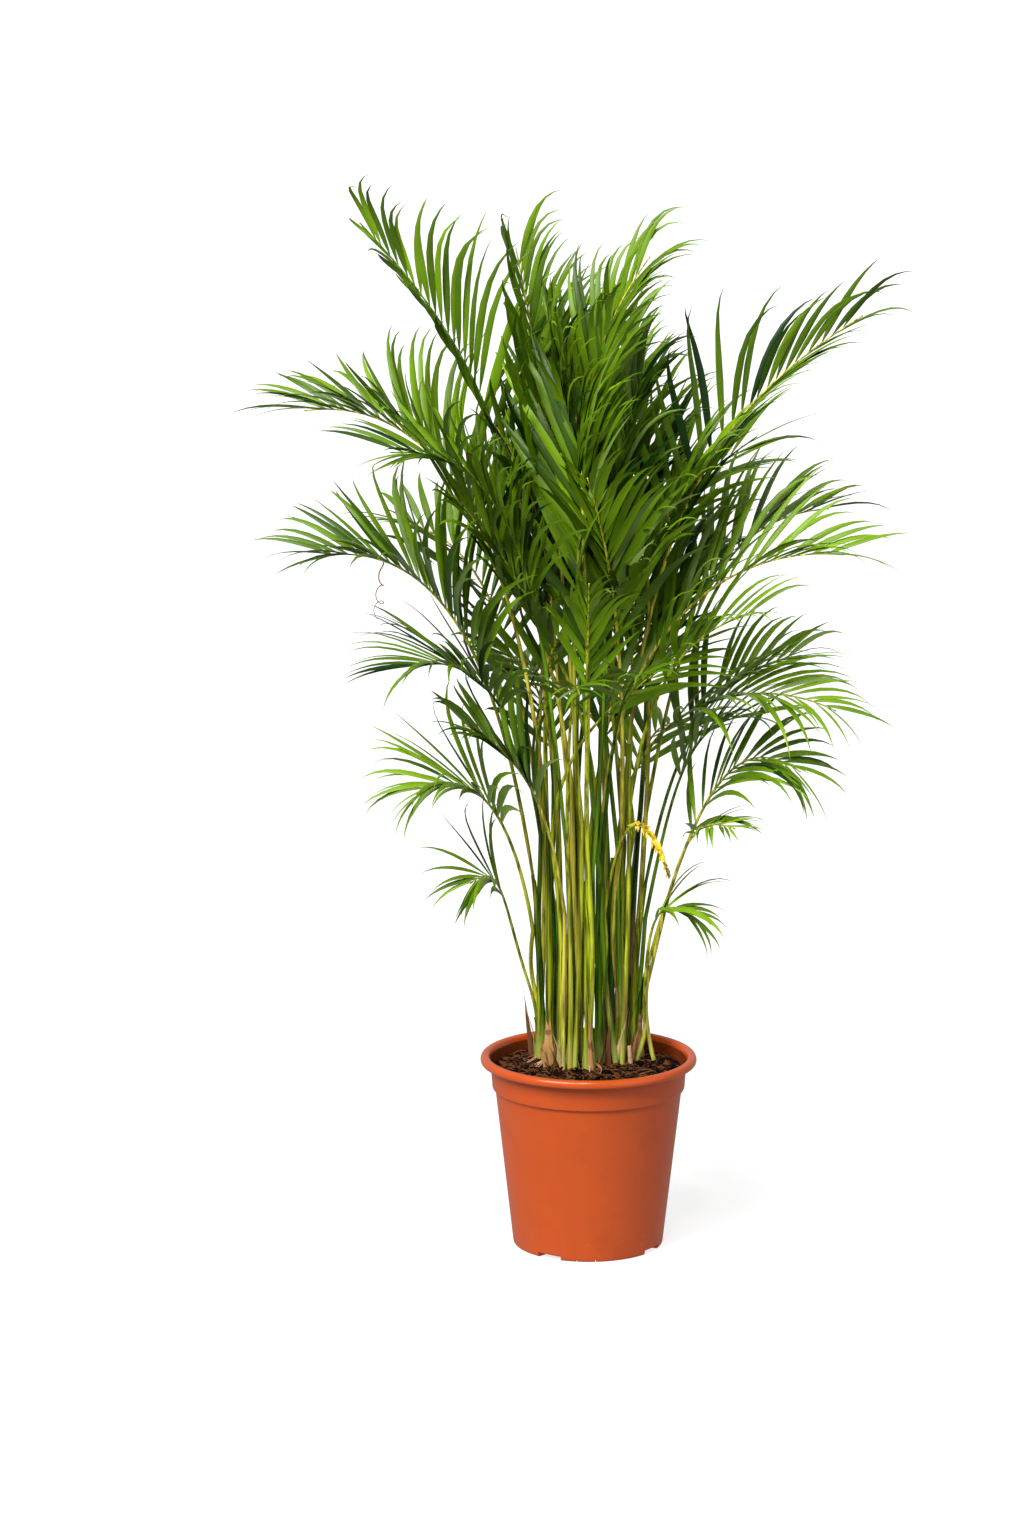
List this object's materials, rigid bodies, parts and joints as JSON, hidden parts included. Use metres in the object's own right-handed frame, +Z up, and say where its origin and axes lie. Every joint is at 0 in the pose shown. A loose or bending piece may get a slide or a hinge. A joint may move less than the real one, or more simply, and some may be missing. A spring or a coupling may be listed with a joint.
{
  "type": "potted clumping palm",
  "caption": "Clump of slim green palm canes with arching upswept feather fronds, growing in bark mix in a round tapered terracotta-coloured plastic pot with a rolled rim.",
  "frame": {"origin": "middle of the pot's flat underside, on the floor", "axes": "+Z up along the pot's axis, +X to the right and -Y to the front of the pictured view"},
  "size_m": [0.7854, 0.5956, 1.2548],
  "materials": {
    "pot_plastic": "terracotta-coloured moulded plastic, satin",
    "bark_mix": "dark damp bark chips and coir fibre",
    "green_cane": "smooth yellow-green leaf sheath",
    "dry_sheath": "dry papery sheath, tan to brown",
    "green_frond": "leaf green, slightly waxy",
    "yellow_frond": "wilted yellow leaf"
  },
  "bodies": {
    "root": {"cane_01": "green_cane", "cane_02": "green_cane", "cane_03": "green_cane", "cane_04": "green_cane", "cane_05": "green_cane", "cane_06": "green_cane", "cane_07": "green_cane", "cane_08": "green_cane", "cane_09": "green_cane", "cane_10": "green_cane", "cane_11": "green_cane", "cane_12": "green_cane", "cane_13": "green_cane", "cane_14": "green_cane", "cane_15": "green_cane", "cane_16": "green_cane", "cane_17": "green_cane", "cane_18": "green_cane", "cut_stub": "dry_sheath", "dead_sheath": "dry_sheath", "frond_01": "green_frond", "frond_02": "green_frond", "frond_03": "green_frond", "frond_04": "green_frond", "frond_05": "green_frond", "frond_06": "green_frond", "frond_07": "green_frond", "frond_08": "green_frond", "frond_09": "green_frond", "frond_10": "green_frond", "frond_11": "green_frond", "frond_12": "green_frond", "frond_13": "green_frond", "frond_14": "green_frond", "frond_15": "green_frond", "frond_16": "green_frond", "frond_17": "green_frond", "frond_18": "green_frond", "frond_19": "green_frond", "frond_20": "green_frond", "frond_21": "green_frond", "frond_22": "green_frond", "frond_23": "green_frond", "frond_24": "green_frond", "frond_25": "green_frond", "frond_26": "green_frond", "frond_27": "green_frond", "frond_28": "green_frond", "frond_29": "green_frond", "frond_30": "green_frond", "frond_31": "green_frond", "frond_32": "green_frond", "frond_33": "green_frond", "frond_34": "green_frond", "frond_35": "green_frond", "frond_36": "green_frond", "pot": "pot_plastic", "potting_soil": "bark_mix", "tan_shoot": "dry_sheath", "wilted_frond": "yellow_frond"}
  },
  "joints": []
}
